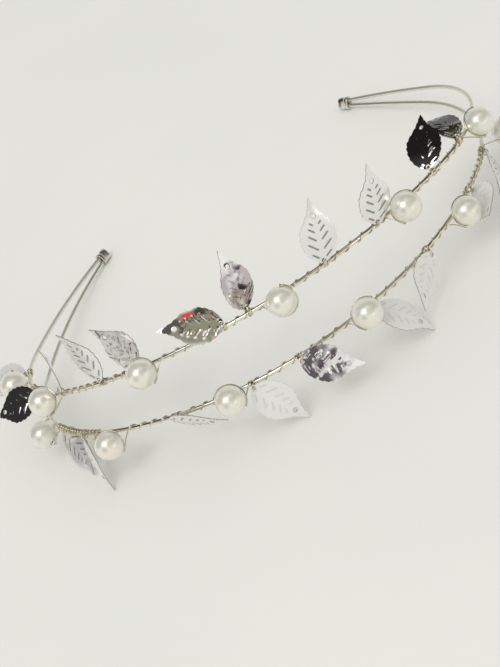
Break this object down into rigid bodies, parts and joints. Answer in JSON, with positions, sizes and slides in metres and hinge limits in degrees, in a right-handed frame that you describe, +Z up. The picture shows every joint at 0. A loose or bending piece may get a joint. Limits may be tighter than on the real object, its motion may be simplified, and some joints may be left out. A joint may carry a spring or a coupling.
{
  "type": "leaf tiara",
  "caption": "Double-row wire tiara whose sprung wires carry bound pearls and stamped, curled metal leaves, joined in a sleeve at each end.",
  "frame": {"origin": "middle of the tiara's outline seen from above, on the surface it lies on", "axes": "+Z up from that surface, -Y toward the decorated crown, +Y toward the open ends of the two legs, X across the head"},
  "size_m": [0.1696, 0.1282, 0.0444],
  "materials": {
    "wire": "polished pale champagne plating on spring wire",
    "binding": "bright drawn wire, pale champagne",
    "leaf": "mirror-bright stamped sheet",
    "pearl": "cream nacre, soft gloss"
  },
  "bodies": {
    "root": {"upper_wire": "wire", "lower_wire": "wire", "left_end_cap": "wire", "right_end_cap": "wire", "upper_binding_wire": "binding", "lower_binding_wire": "binding", "upper_pearl_1": "pearl", "upper_pearl_2": "pearl", "upper_pearl_3": "pearl", "upper_pearl_4": "pearl", "upper_pearl_5": "pearl", "upper_pearl_6": "pearl", "lower_pearl_1": "pearl", "lower_pearl_2": "pearl", "lower_pearl_3": "pearl", "lower_pearl_4": "pearl", "lower_pearl_5": "pearl", "lower_pearl_6": "pearl", "upper_leaf_1": "leaf", "upper_leaf_2": "leaf", "upper_leaf_3": "leaf", "upper_leaf_4": "leaf", "upper_leaf_5": "leaf", "upper_leaf_6": "leaf", "upper_leaf_7": "leaf", "upper_leaf_8": "leaf", "upper_leaf_9": "leaf", "upper_leaf_10": "leaf", "upper_leaf_11": "leaf", "lower_leaf_1": "leaf", "lower_leaf_2": "leaf", "lower_leaf_3": "leaf", "lower_leaf_4": "leaf", "lower_leaf_5": "leaf", "lower_leaf_6": "leaf", "lower_leaf_7": "leaf", "lower_leaf_8": "leaf", "lower_leaf_9": "leaf"}
  },
  "joints": []
}
